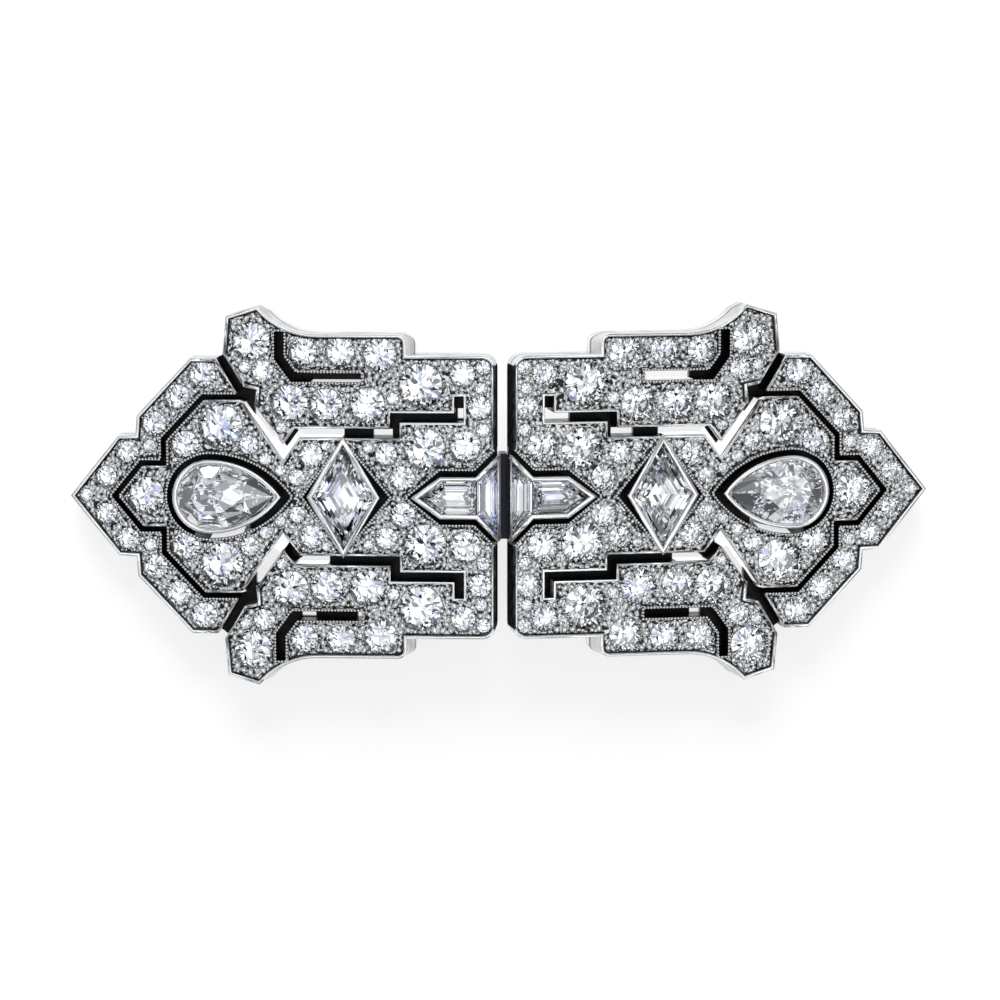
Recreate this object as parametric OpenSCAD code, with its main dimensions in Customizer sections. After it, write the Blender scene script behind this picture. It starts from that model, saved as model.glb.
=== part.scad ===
// Double clip brooch. Two mirrored dress clips on one frame, lying on its back with the face up.
// X runs along the brooch, Y across it and Z out of its face. Millimetres.
// A clip is drawn flat with its face at z = 0 and its inner edge near x = 0. Then it is tilted
// outwards, like one side of a shallow roof, and raised. The left clip is the mirror of the right.

/* [Clip] */
// Tilt of each clip's face away from level, in degrees
clip_tilt = 7; // [5:0.5:8]
// Height of the roof line where the two faces would meet
roof_height = 7.5; // [7.4:0.05:8]
// Thickness of the front plate
plate_t = 1.5; // [1.3:0.1:1.7]
// Whole depth of the clip from its face to the back of the gallery
clip_depth = 2.8; // [2.6:0.1:2.8]
// Distance from the brooch's middle line to the inner edge of a clip
inner_edge = 0.72; // [0.6:0.01:0.8]
// Radius of the rounded corner at the inner edge
corner_r = 1.05; // [0.8:0.05:1.3]
// Radius of the hollow curve beside the horn
horn_curve_r = 6; // [5:0.5:7]

/* [Edges] */
// Width of the bright rim round the outer outline
rim_w = 0.22; // [0.16:0.01:0.3]
// Width of the beaded edge along a slot
bead_edge_w = 0.2; // [0.14:0.01:0.24]
// Depth of the pave floor below the rims
floor_drop = 0.25; // [0.15:0.05:0.35]
// Thickness of a bezel's wall
bezel_t = 0.24; // [0.2:0.01:0.28]
// Height of a bezel above the rims
bezel_rise = 0.3; // [0.1:0.05:0.4]

/* [Gallery] */
// Thickness of the wall behind the outer outline
gallery_t = 0.5; // [0.4:0.05:0.55]
// Thickness of the floor that closes the back of a slot
slot_floor_t = 0.6; // [0.4:0.05:0.7]
// Width of the wall on each side of a slot, below the plate
slot_wall_t = 0.35; // [0.25:0.05:0.4]

/* [Stones] */
// Gap round each stone in its seat
seat_gap = 0.04; // [0.03:0.01:0.06]
// Depth of the round stones' girdles below the rims
girdle_drop = 0.3; // [0.25:0.05:0.35]
// Height of the crown as a share of the stone's radius
crown_share = 0.32; // [0.26:0.02:0.36]
// Depth of the pavilion as a share of the stone's radius
pavilion_share = 0.86; // [0.8:0.02:0.88]
// Width of the table as a share of the stone's width
table_share = 0.56; // [0.5:0.02:0.6]
// Half width of the pear stone's slot
pear_slot_w = 3.35; // [3.3:0.05:3.45]
// Half width of the pear stone's bezel
pear_bezel_w = 2.8; // [2.7:0.05:2.85]
// Half width of the lozenge stone's bezel
lozenge_w = 2.75; // [2.6:0.05:2.8]
// Half height of the lozenge stone's bezel
lozenge_h = 4.6; // [4.5:0.05:4.6]

/* [Frame and pin] */
// Half width of the spine between the clips
spine_w = 0.3; // [0.2:0.01:0.32]
// Half length of the spine
spine_h = 3.35; // [3:0.05:3.6]
// Thickness of the frame's two wings
wing_t = 0.8; // [0.6:0.05:0.9]
// Length of each wing
wing_l = 15.5; // [14:0.5:16]
// Half width of each wing
wing_w = 2; // [1.6:0.1:2.1]
// Radius of the pin stem
pin_r = 0.4; // [0.35:0.05:0.45]
// Height of the pin stem's axis above the lowest point
pin_z = 0.9; // [0.8:0.05:1]

/* [Hidden] */
clearance = 0.06;
eps = 0.01;
$fn = 64;
// Sides of the long arcs along a pear's flanks
flank_fn = 160;

// Cut of the round stones, as shares of a stone's radius
round_stone_sides = 16;
girdle_share = 0.04;
star_rise = 0.02;
break_share = 0.24;
culet_share = 0.03;

// Cut of the pear stone, as shares of its half width
pear_stone_sides = 24;
pear_crown_share = 0.26;
pear_pavilion_share = 0.78;

// Rings of a step cut, top to bottom: share of the outline, height as a share of the half width
step_rings = [[0.52, 0.3], [0.76, 0.22], [1, 0.05], [1, -0.05], [0.72, -0.4], [0.4, -0.7], [0.05, -0.85]];

// Seat of a round stone, as shares of its radius
seat_girdle_share = 0.1;
seat_hole_share = 0.5;

// Outline of the upper half of a clip, from the outer tip to the inner edge
tip_x = 34;
row_top = 12.7;
tab_x = 7.7;
tab_r = 0.65;
step_top = 11.1;
horn_peak_x = 19.25;
horn_rise = 2.15;
chevron_points = [[tip_x, 0], [30.25, 4.7], [28.85, 4.75], [28.75, 6.3], [24.55, 10.8], [22.45, 10.8]];
horn_points = [[21.95, 11.2], [21.7, 14.1]];

// Centre lines of the slots in the upper half, outside in
chevron_slot = [[30.55, 0], [28.42, 2.6], [26.68, 2.6], [26.68, 4.45], [23.55, 7.8], [20.4, 7.8]];
horn_slot = [[22.75, 11.87], [20.56, 8.22]];
scroll_slot = [[20.15, 7.5], [17.33, 3.48], [16.22, 5], [8.55, 5], [8.55, 6.25], [3.55, 6.25], [3.55, 7.95]];
arm_slot = [[17.58, 12.95], [17.58, 10.9], [16.48, 9.38], [11.15, 9.38]];
slot_junction = [[20.6, 7.55], [20.9, 8.1], [20.5, 8.65], [19.35, 8.4], [19.45, 7.2]];

// Slots: centre line, width. The first crosses the axis, and the others lie on each side of it.
CENTRE_LINE = 0;
SLOT_W = 1;
crossing_slots = [
    [chevron_slot, 0.44]
];
side_slots = [
    [horn_slot, 0.68],
    [scroll_slot, 0.76],
    [arm_slot, 0.76]
];

// Windows cut through the slot floors: clip side, upper or lower half, corner, size
LEFT = -1;
RIGHT = 1;
UPPER = 1;
LOWER = -1;
WINDOW_CLIP = 0;
WINDOW_HALF = 1;
WINDOW_AT = 2;
WINDOW_SIZE = 3;
windows = [
    [LEFT, UPPER, [12.7, 2.5], [7, 4.6]],
    [LEFT, LOWER, [13.9, 2.5], [5.8, 4.6]],
    [RIGHT, UPPER, [12.7, 2.5], [7, 4.6]],
    [RIGHT, LOWER, [13.9, 2.5], [5.8, 4.6]],
    [LEFT, UPPER, [8.9, 4.5], [1.5, 0.65]],
    [RIGHT, UPPER, [8.9, 4.5], [1.8, 0.65]],
    [LEFT, UPPER, [3.2, 6], [0.6, 0.8]],
    [RIGHT, UPPER, [3.6, 5.8], [2, 1]],
    [RIGHT, LOWER, [3.1, 6.4], [0.5, 1.6]],
    [RIGHT, UPPER, [11, 8.9], [4.2, 0.7]],
    [LEFT, LOWER, [15, 8.9], [1.1, 0.8]],
    [LEFT, LOWER, [11, 8.9], [0.7, 1]],
    [RIGHT, LOWER, [15.3, 8.9], [0.9, 1.6]]
];

// Pear stone in the shield
pear_round_end = 25.9;
pear_x = pear_round_end - pear_bezel_w;
pear_point = 5.5;
pear_slot_point = 6.4;
pear_window = [[20.2, 24.4], [2.2, 3.4]];

// Lozenge stone: centre, and the half widths of its slot outwards and inwards
lozenge_x = 12.6;
lozenge_slot_out = 3.2;
lozenge_slot_in = 3.6;
lozenge_slot_h = 4.4;

// Arrow bezel at the inner edge and the slot round it, upper halves from their points. The bezel's wide end
// stands over the inner edge as a shallow lip.
arrow_points = [[7.15, 0], [5, 1.55], [2.2, 1.55], [0.43, 3.34]];
arrow_slot_points = [[7.65, 0], [5.05, 2.12], [2.35, 2.12], [0, 4.5]];
arrow_joint_x = 2.2;
arrow_lip_depth = 1.1;
arrow_lip_t = 0.12;

// Named round stones of a quarter: name, centre, radius
NAME = 0;
PLACE = 1;
RADIUS = 2;
quarter_stones = [
    ["shield_stone", [22.2, 5.45], 1.72],
    ["horn_stone", [19.75, 12.15], 1.5],
    ["tab_stone", [9.75, 11.1], 1.35],
    ["scroll_stone_outer", [16.85, 7.3], 1.45],
    ["scroll_stone_inner", [10.75, 7.2], 1.4],
    ["step_stone", [6.55, 8.75], 1.75],
    ["body_stone", [6.25, 3.75], 1.65]
];
bay_stone = ["bay_stone", [28.15, 0], 1.45];

// Smaller round stones of a quarter, outside in: centre, radius
SMALL_PLACE = 0;
SMALL_R = 1;
small_stones = [
    [[31.3, 1.45], 0.85],
    [[29.6, 3.42], 0.88],
    [[27.85, 3.9], 0.5],
    [[27.45, 5.6], 0.98],
    [[25.65, 7.77], 1],
    [[23.65, 9.5], 1.05],
    [[25.05, 4.02], 1.1],
    [[20.05, 4], 0.78],
    [[18.75, 2.9], 0.5],
    [[18.95, 9.8], 0.88],
    [[20.35, 10.1], 0.45],
    [[15.75, 11.3], 1.1],
    [[12.85, 11.3], 1.15],
    [[14, 7.2], 1.3],
    [[17.5, 5.35], 0.42],
    [[8.75, 7.7], 0.48],
    [[3.3, 9.6], 1],
    [[1.68, 10.15], 0.58],
    [[1.85, 8.52], 0.46],
    [[1.96, 7], 0.94],
    [[1.72, 5.25], 0.52],
    [[3.1, 3.95], 1.25],
    [[8, 1.45], 1],
    [[9.3, 3.3], 0.88],
    [[10.7, 3.8], 0.38],
    [[15.15, 3.2], 0.95],
    [[16.3, 1.45], 0.66],
    [[17.6, 2], 0.42],
    [[14, 3.95], 0.36]
];
tip_stone = [[32.85, 0], 0.5];

// Prongs behind a clip: hinge end, tips, distance between them
prong_hinge_x = 24.5;
prong_tip_x = 8;
prong_y = 3.4;
prong_w = 1.6;
prong_t = 0.7;
prong_drop = 1;
prong_bar_w = 2.4;

// Inner end of the frame's wings, and the top of the spine above their backs
wing_inner_x = 0.3;
spine_top = 1.3;

// Pin stem and the posts that hold it
pin_reach = 12.5;
post_w = 1.6;
post_h = 1.8;
post_r = 0.85;
pin_overhang = 1;

SIDES = [["left", LEFT], ["right", RIGHT]];
HALVES = [["upper", UPPER], ["lower", LOWER]];
quarter_nodes = [
    for (s = SIDES, h = HALVES, q = quarter_stones) str(q[NAME], "_", s[0], "_", h[0])
];
side_nodes = [
    for (
        n = ["clip_mount", "clip_prongs", "small_stones", "pear_stone", "lozenge_stone", "bullet_stone",
             "trapezoid_stone", "bay_stone"],
        s = SIDES
    ) str(n, "_", s[0])
];
NODES = concat(side_nodes, ["brooch_frame", "brooch_pin"], quarter_nodes);
node = "all";

platinum = [0.78, 0.79, 0.81];
dark_platinum = [0.6, 0.61, 0.63];
diamond = [0.9, 0.93, 0.97];

// Flat geometry

// Mirrors a half outline below the axis and closes it
function both_halves(half) = concat(half, [for (i = [len(half) - 1 : -1 : 0]) [half[i][0], -half[i][1]]]);

function unit(v) = v / norm(v);

function left_of(v) = [-v[1], v[0]];

// Offset of a path's point i to its left by d, mitred where the path turns
function mitre(path, i, d) =
    let (
        last = len(path) - 1,
        before = i > 0 ? unit(path[i] - path[i - 1]) : unit(path[1] - path[0]),
        after = i < last ? unit(path[i + 1] - path[i]) : before
    )
    path[i] + (left_of(before) + left_of(after)) * d / (1 + before * after);

// A path lengthened by d at both ends
function stretched(path, d) =
    let (last = len(path) - 1)
    [for (i = [0 : last])
        i == 0 ? path[0] - unit(path[1] - path[0]) * d
        : i == last ? path[last] + unit(path[last] - path[last - 1]) * d
        : path[i]
    ];

// Closed band of width w along a path
function band(path, w) =
    let (last = len(path) - 1)
    concat([for (i = [0 : last]) mitre(path, i, w / 2)], [for (i = [last : -1 : 0]) mitre(path, i, -w / 2)]);

// A path that starts on the axis, led on through its mirrored half
function across_axis(path) = concat([for (i = [len(path) - 1 : -1 : 1]) [path[i][0], -path[i][1]]], path);

// Closed outline moved inwards by d, for points that run anticlockwise
function inset(points, d) =
    let (n = len(points))
    [for (i = [0 : n - 1])
        let (
            before = unit(points[i] - points[(i + n - 1) % n]),
            after = unit(points[(i + 1) % n] - points[i])
        )
        points[i] + (left_of(before) + left_of(after)) * d / (1 + before * after)
    ];

function arc(centre, r, from, to, steps) =
    [for (i = [0 : steps]) let (a = from + (to - from) * i / steps) centre + r * [cos(a), sin(a)]];

// Outline of the upper half of a clip. The hollow curve starts at the horn's peak and ends level.
horn_sweep = acos(1 - horn_rise / horn_curve_r);
horn_curve_x = horn_peak_x - horn_curve_r * sin(horn_sweep);
half_outline = concat(
    chevron_points,
    horn_points,
    arc([horn_curve_x, row_top + horn_curve_r], horn_curve_r, horn_sweep - 90, -90, 9),
    arc([tab_x + tab_r, row_top - tab_r], tab_r, 90, 180, 4),
    [[tab_x, step_top]],
    arc([inner_edge + corner_r, step_top - corner_r], corner_r, 90, 180, 6),
    [[inner_edge, 0]]
);
// The two points on the axis would repeat in the mirrored half
clip_outline = let (
    full = both_halves(half_outline),
    n = len(full)
) [for (i = [0 : n - 2]) if (i != n / 2) full[i]];

module both_sides_of_axis() {
    children();
    mirror([0, 1]) children();
}

// Pear of half width w, its round end at +x and its point at -x, both from the widest place
module pear_2d(w, point) {
    sag = (point * point - w * w) / (2 * w);
    circle(w);
    intersection() {
        translate([0, sag]) circle(w + sag, $fn = flank_fn);
        translate([0, -sag]) circle(w + sag, $fn = flank_fn);
        translate([-point, -w]) square([point, 2 * w]);
    }
}

// Points along the same pear, anticlockwise from the round end
function pear_points(w, point, n) =
    let (sag = (point * point - w * w) / (2 * w), reach = asin(point / (w + sag)), half = n / 2)
    [for (i = [0 : n - 1])
        let (k = i <= half ? i : n - i, sign = i <= half ? 1 : -1, round_steps = half / 2)
        k <= round_steps
            ? w * [cos(90 * k / round_steps), sign * sin(90 * k / round_steps)]
            : let (a = reach * (k - round_steps) / (half - round_steps))
                [-(w + sag) * sin(a), sign * ((w + sag) * cos(a) - sag)]
    ];

module slot_lines(grow) {
    for (s = crossing_slots)
        polygon(band(stretched(across_axis(s[CENTRE_LINE]), grow), s[SLOT_W] + 2 * grow));
    both_sides_of_axis() {
        for (s = side_slots) polygon(band(stretched(s[CENTRE_LINE], grow), s[SLOT_W] + 2 * grow));
        polygon(inset(slot_junction, -grow));
    }
}

// Lozenge about its stone's centre, from its half widths outwards and inwards and its half height
function lozenge(out_w, in_w, h) =
    [[lozenge_x + out_w, 0], [lozenge_x, h], [lozenge_x - in_w, 0], [lozenge_x, -h]];

module lozenge_slot_2d(grow) {
    polygon(inset(lozenge(lozenge_slot_out, lozenge_slot_in, lozenge_slot_h), -grow));
}

module pear_slot_2d(grow) {
    translate([pear_x, 0]) pear_2d(pear_slot_w + grow, pear_slot_point + grow);
}

module slots_2d(grow = 0) {
    slot_lines(grow);
    lozenge_slot_2d(grow);
    pear_slot_2d(grow);
    polygon(inset(arrow_slot_outline, -grow));
}

module outline_2d(d = 0) {
    polygon(inset(clip_outline, d));
}

function whole_arrow(upper) = let (full = both_halves(upper)) [for (i = [0 : len(full) - 2]) full[i]];
arrow_outline = whole_arrow(arrow_points);
arrow_slot_outline = whole_arrow(arrow_slot_points);

lozenge_outline = lozenge(lozenge_w, lozenge_w, lozenge_h);

// Outlines of the four bezelled stones, each about the point from which it is cut
bullet_cut = let (p = inset(arrow_outline, bezel_t + seat_gap)) [
    p[0], p[1], [arrow_joint_x + seat_gap, p[1][1]], [arrow_joint_x + seat_gap, -p[1][1]], [p[1][0], -p[1][1]]
];
trapezoid_inner_x = arrow_points[3][0] + arrow_lip_t + seat_gap;
trapezoid_slope = (arrow_points[3][1] - arrow_points[2][1]) / (arrow_points[2][0] - arrow_points[3][0]);
trapezoid_short = bullet_cut[1][1];
trapezoid_long = trapezoid_short + (arrow_joint_x - trapezoid_inner_x) * trapezoid_slope - seat_gap;
trapezoid_cut = [
    [arrow_joint_x - seat_gap, trapezoid_short],
    [trapezoid_inner_x, trapezoid_long],
    [trapezoid_inner_x, -trapezoid_long],
    [arrow_joint_x - seat_gap, -trapezoid_short]
];

// Places a clip's own pieces
module clip_place(side) {
    mirror([side == LEFT ? 1 : 0, 0, 0]) translate([0, 0, roof_height]) rotate([0, clip_tilt, 0]) children();
}

module layer(from, to) {
    translate([0, 0, from]) linear_extrude(to - from) children();
}

// Stones

// Brilliant cut over an outline of n points about the origin. The girdle is at z = 0.
// Rings: table, star, girdle top, girdle bottom, lower break and culet.
module brilliant(outline, crown, pavilion, table = table_share) {
    n = len(outline);
    m = n / 2;
    girdle = girdle_share * crown / crown_share;
    star_r = (1 + table) / 2 + star_rise;
    star_z = crown * (1 - star_r * cos(180 / m)) / (1 - table);
    break_z = -pavilion * (1 - break_share * cos(180 / m));
    table_0 = 0;
    star_0 = m;
    top_0 = 2 * m;
    low_0 = top_0 + n;
    break_0 = low_0 + n;
    culet = break_0 + m;
    points = concat(
        [for (i = [0 : m - 1]) [each outline[2 * i] * table, crown]],
        [for (i = [0 : m - 1]) [each outline[2 * i + 1] * star_r, star_z]],
        [for (p = outline) [each p, girdle]],
        [for (p = outline) [each p, -girdle]],
        [for (i = [0 : m - 1]) [each outline[2 * i + 1] * break_share, break_z]],
        [[0, 0, -pavilion]]
    );
    faces = concat(
        [[for (i = [m - 1 : -1 : 0]) table_0 + i]],
        [for (i = [0 : m - 1]) let (j = (i + 1) % m, h = (i + m - 1) % m, g = 2 * i, k = (g + 2) % n) each [
            [table_0 + i, table_0 + j, star_0 + i],
            [table_0 + i, star_0 + i, top_0 + g],
            [table_0 + i, top_0 + g, star_0 + h],
            [star_0 + i, top_0 + g + 1, top_0 + g],
            [star_0 + i, top_0 + k, top_0 + g + 1],
            [break_0 + i, low_0 + g, low_0 + g + 1],
            [break_0 + i, low_0 + g + 1, low_0 + k],
            [culet, low_0 + g, break_0 + i],
            [culet, break_0 + h, low_0 + g]
        ]],
        [for (i = [0 : n - 1]) let (j = (i + 1) % n) each [
            [top_0 + i, top_0 + j, low_0 + j],
            [top_0 + i, low_0 + j, low_0 + i]
        ]]
    );
    polyhedron(points, faces);
}

// Cut stone whose outline is repeated in rings of [share of the outline, height], top to bottom
module ring_cut(outline, rings) {
    n = len(outline);
    last = len(rings) - 1;
    polyhedron(
        [for (r = rings, p = outline) [each p * r[0], r[1]]],
        concat(
            [[for (i = [n - 1 : -1 : 0]) i]],
            [for (k = [0 : last - 1], i = [0 : n - 1]) let (j = (i + 1) % n) each [
                [k * n + i, k * n + j, (k + 1) * n + j],
                [k * n + i, (k + 1) * n + j, (k + 1) * n + i]
            ]],
            [[for (i = [0 : n - 1]) last * n + i]]
        )
    );
}

function circle_points(r, n) = [for (i = [0 : n - 1]) r * [cos(360 * i / n), sin(360 * i / n)]];

module round_brilliant(r) {
    brilliant(circle_points(r, round_stone_sides), crown_share * r, pavilion_share * r);
}

// Single cut: a table and eight crown and eight pavilion facets
module single_cut(r) {
    girdle = girdle_share * r;
    ring_cut(
        circle_points(r, round_stone_sides / 2),
        [[table_share, crown_share * r], [1, girdle], [1, -girdle], [culet_share, -pavilion_share * r]]
    );
}

// Centre of an outline, to which a step cut's rings shrink
function middle(points) =
    [for (k = [0, 1]) let (values = [for (p = points) p[k]]) (min(values) + max(values)) / 2];

// Step cut with two crown steps and three pavilion steps over a stone of half width w
module step_cut(outline, w) {
    c = middle(outline);
    translate(c) ring_cut([for (p = outline) p - c], [for (r = step_rings) [r[0], r[1] * w]]);
}

// Metal of a clip

// Seat for a round stone: the girdle's pocket, a cone under the pavilion and the hole at the back
module round_seat(r) {
    pocket = r + seat_gap;
    pocket_z = -girdle_drop - seat_girdle_share * r;
    hole = seat_hole_share * r;
    rotate_extrude() polygon([
        [0, 1],
        [pocket, 1],
        [pocket, pocket_z],
        [hole, pocket_z - (pocket - hole) * pavilion_share],
        [hole, -clip_depth - 1],
        [0, -clip_depth - 1]
    ]);
}

module round_seats() {
    translate(bay_stone[PLACE]) round_seat(bay_stone[RADIUS]);
    translate(tip_stone[SMALL_PLACE]) round_seat(tip_stone[SMALL_R]);
    for (h = HALVES) {
        for (q = quarter_stones) translate([q[PLACE][0], h[1] * q[PLACE][1]]) round_seat(q[RADIUS]);
        for (s = small_stones)
            translate([s[SMALL_PLACE][0], h[1] * s[SMALL_PLACE][1]]) round_seat(s[SMALL_R]);
    }
}

// Plate and gallery before the stones' seats are cut
module clip_plate() {
    difference() {
        union() {
            layer(-plate_t, 0) outline_2d();
            layer(-clip_depth, -plate_t + eps) difference() {
                outline_2d();
                outline_2d(gallery_t);
            }
            layer(-clip_depth, -plate_t + eps) intersection() {
                outline_2d();
                slots_2d(slot_wall_t);
            }
        }
        layer(-clip_depth + slot_floor_t, 1) slots_2d();
        layer(-floor_drop, 1) difference() {
            outline_2d(rim_w);
            slots_2d(bead_edge_w);
        }
    }
}

module window_cuts(side) {
    for (w = windows) if (w[WINDOW_CLIP] == side)
        layer(-clip_depth - 1, -clip_depth + slot_floor_t + eps) intersection() {
            slots_2d();
            scale_y = w[WINDOW_HALF] == LOWER ? 1 : 0;
            mirror([0, scale_y]) translate(w[WINDOW_AT]) square(w[WINDOW_SIZE]);
        }
    // The lower side of the pear's slot shows through
    layer(-clip_depth - 1, -clip_depth + slot_floor_t + eps) intersection() {
        pear_slot_2d(0);
        translate([pear_window[0][0], -pear_window[1][1]])
            square([pear_window[0][1] - pear_window[0][0], pear_window[1][1] - pear_window[1][0]]);
    }
}

// Solid blocks of the three bezels, before their stones' seats are cut
module bezel_blocks() {
    layer(-clip_depth, bezel_rise) translate([pear_x, 0]) pear_2d(pear_bezel_w, pear_point);
    layer(-clip_depth, bezel_rise) polygon(lozenge_outline);
    layer(-clip_depth, bezel_rise) intersection() {
        polygon(arrow_outline);
        translate([inner_edge, -tip_x]) square([tip_x, 2 * tip_x]);
    }
    layer(-arrow_lip_depth, bezel_rise) polygon(arrow_outline);
}

// Pockets of the bezelled stones, and the narrower holes behind them that leave a ledge
module bezel_seats() {
    through = -clip_depth - 1;
    pear_ledge_z = -0.3 * pear_bezel_w;
    lozenge_ledge_z = -0.4 * lozenge_w;
    baguette_ledge_z = -0.7 * trapezoid_short;
    ledge_w = 0.5;
    translate([pear_x, 0]) {
        layer(pear_ledge_z, 1) pear_2d(pear_bezel_w - bezel_t, pear_point - 1.7 * bezel_t);
        layer(through, 1) pear_2d(pear_bezel_w - bezel_t - ledge_w, pear_point - 1.7 * bezel_t - 2 * ledge_w);
    }
    layer(lozenge_ledge_z, 1) polygon(inset(lozenge_outline, bezel_t));
    layer(through, 1) polygon(inset(lozenge_outline, bezel_t + ledge_w));
    for (cut = [bullet_cut, trapezoid_cut]) {
        layer(baguette_ledge_z, 1) polygon(inset(cut, -seat_gap));
        layer(through, 1) polygon(inset(cut, 0.6 * ledge_w));
    }
}

module clip_mount(side) {
    color(platinum) clip_place(side) difference() {
        union() {
            difference() {
                clip_plate();
                window_cuts(side);
            }
            bezel_blocks();
        }
        round_seats();
        bezel_seats();
    }
}

// Two flat prongs on one bar, fixed to the back of the clip by a lug. The underside rests level.
module clip_prongs(side) {
    back = -clip_depth - clearance;
    prong_z = back - prong_drop - prong_t;
    color(dark_platinum) difference() {
        clip_place(side) {
            layer(prong_z, prong_z + prong_t) both_sides_of_axis() polygon([
                [prong_hinge_x, prong_y - prong_w / 2],
                [prong_hinge_x, prong_y + prong_w / 2],
                [prong_tip_x + 3, prong_y + prong_w / 2],
                [prong_tip_x, prong_y],
                [prong_tip_x + 3, prong_y - prong_w / 2]
            ]);
            layer(prong_z, prong_z + prong_t) translate([prong_hinge_x, -prong_y - prong_w / 2])
                square([prong_bar_w, 2 * prong_y + prong_w]);
            layer(prong_z, back) both_sides_of_axis() translate([prong_hinge_x, prong_y - prong_w / 2])
                square([prong_bar_w, prong_w]);
        }
        translate([-50, -50, -20]) cube([100, 100, 20]);
    }
}

// Post that stands under a wing and is bored along the brooch for the pin stem
module pin_post() {
    rotate([90, 0, 90]) difference() {
        translate([0, 0, -post_w / 2]) {
            cylinder(r = post_r, h = post_w);
            translate([-post_r, 0, 0]) cube([2 * post_r, post_h, post_w]);
        }
        translate([0, 0, -post_w]) cylinder(r = pin_r + clearance, h = 2 * post_w);
    }
}

// Frame: a spine between the clips, a wing under each and the two posts of the pin
module brooch_frame() {
    back = -clip_depth - clearance;
    color(dark_platinum) {
        for (s = SIDES) {
            clip_place(s[1]) layer(back - wing_t, back)
                translate([wing_inner_x, -wing_w]) square([wing_l - wing_inner_x, 2 * wing_w]);
            translate([s[1] * pin_reach, 0, pin_z]) pin_post();
        }
        translate([-spine_w, -spine_h, roof_height - clip_depth - wing_t])
            cube([2 * spine_w, 2 * spine_h, clip_depth + wing_t - spine_top]);
    }
}

module brooch_pin() {
    reach = pin_reach + pin_overhang;
    color(dark_platinum) translate([-reach, 0, pin_z]) rotate([0, 90, 0]) cylinder(r = pin_r, h = 2 * reach);
}

// Stones in their places

module at_girdle(place, half) {
    translate([place[0], half * place[1], -girdle_drop]) children();
}

module round_stone(q, side, half) {
    color(diamond) clip_place(side) at_girdle(q[PLACE], half) round_brilliant(q[RADIUS]);
}

module clip_small_stones(side) {
    color(diamond) clip_place(side) {
        at_girdle(tip_stone[SMALL_PLACE], UPPER) single_cut(tip_stone[SMALL_R]);
        for (h = HALVES, s = small_stones) at_girdle(s[SMALL_PLACE], h[1]) single_cut(s[SMALL_R]);
    }
}

module pear_stone(side) {
    w = pear_bezel_w - bezel_t - seat_gap;
    outline = pear_points(w, pear_point - 2 * bezel_t - seat_gap, pear_stone_sides);
    color(diamond) clip_place(side) translate([pear_x, 0, 0])
        brilliant(outline, pear_crown_share * w, pear_pavilion_share * w);
}

module lozenge_stone(side) {
    color(diamond) clip_place(side) step_cut(inset(lozenge_outline, bezel_t + seat_gap), lozenge_w);
}

module bullet_stone(side) {
    color(diamond) clip_place(side) step_cut(bullet_cut, trapezoid_short);
}

module trapezoid_stone(side) {
    color(diamond) clip_place(side) step_cut(trapezoid_cut, trapezoid_short);
}

function is_drawn(name) = node == "all" || node == name;

for (s = SIDES) {
    if (is_drawn(str("clip_mount_", s[0]))) clip_mount(s[1]);
    if (is_drawn(str("clip_prongs_", s[0]))) clip_prongs(s[1]);
    if (is_drawn(str("small_stones_", s[0]))) clip_small_stones(s[1]);
    if (is_drawn(str("pear_stone_", s[0]))) pear_stone(s[1]);
    if (is_drawn(str("lozenge_stone_", s[0]))) lozenge_stone(s[1]);
    if (is_drawn(str("bullet_stone_", s[0]))) bullet_stone(s[1]);
    if (is_drawn(str("trapezoid_stone_", s[0]))) trapezoid_stone(s[1]);
    if (is_drawn(str("bay_stone_", s[0]))) round_stone(bay_stone, s[1], UPPER);
    for (h = HALVES, q = quarter_stones)
        if (is_drawn(str(q[NAME], "_", s[0], "_", h[0]))) round_stone(q, s[1], h[1]);
}
if (is_drawn("brooch_frame")) brooch_frame();
if (is_drawn("brooch_pin")) brooch_pin();
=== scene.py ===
"""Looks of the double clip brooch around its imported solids.

Each clip is worked out in its own flat coordinates, in millimetres: x outwards from the middle of the
brooch, y across it and z out of the clip's face. The left clip is the mirror of the right.
"""

import math
import random

import bpy
import numpy as np
from mathutils import Matrix, Vector
from mathutils.bvhtree import BVHTree


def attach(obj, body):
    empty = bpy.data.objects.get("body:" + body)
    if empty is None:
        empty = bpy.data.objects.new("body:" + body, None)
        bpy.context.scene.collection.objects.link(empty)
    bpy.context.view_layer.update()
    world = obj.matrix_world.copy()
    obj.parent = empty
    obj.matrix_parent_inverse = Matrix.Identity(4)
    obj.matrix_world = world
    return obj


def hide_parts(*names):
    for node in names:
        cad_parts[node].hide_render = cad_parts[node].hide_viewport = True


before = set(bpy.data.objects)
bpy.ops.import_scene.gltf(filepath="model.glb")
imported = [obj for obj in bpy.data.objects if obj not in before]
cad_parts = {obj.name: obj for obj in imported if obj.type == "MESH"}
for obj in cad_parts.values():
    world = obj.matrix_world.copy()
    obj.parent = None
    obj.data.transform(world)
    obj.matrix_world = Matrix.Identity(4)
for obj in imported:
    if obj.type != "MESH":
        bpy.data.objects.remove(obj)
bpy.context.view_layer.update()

MM = 0.001
SIDES = {"left": -1, "right": 1}

# Sizes repeated from the construction, in millimetres
CLIP_TILT = math.radians(7)
ROOF_HEIGHT = 7.5
CLIP_DEPTH = 2.8
FLOOR_DROP = 0.25
BEZEL_RISE = 0.3
GIRDLE_DROP = 0.3
SPINE_HALF = 0.3


# Coordinates

def to_clip(points, side):
    """World points in metres as clip points in millimetres."""
    p = np.asarray(points, float) / MM
    x, z = p[:, 0] * side, p[:, 2] - ROOF_HEIGHT
    c, s = math.cos(CLIP_TILT), math.sin(CLIP_TILT)
    return np.stack([x * c - z * s, p[:, 1], x * s + z * c], 1)


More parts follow.
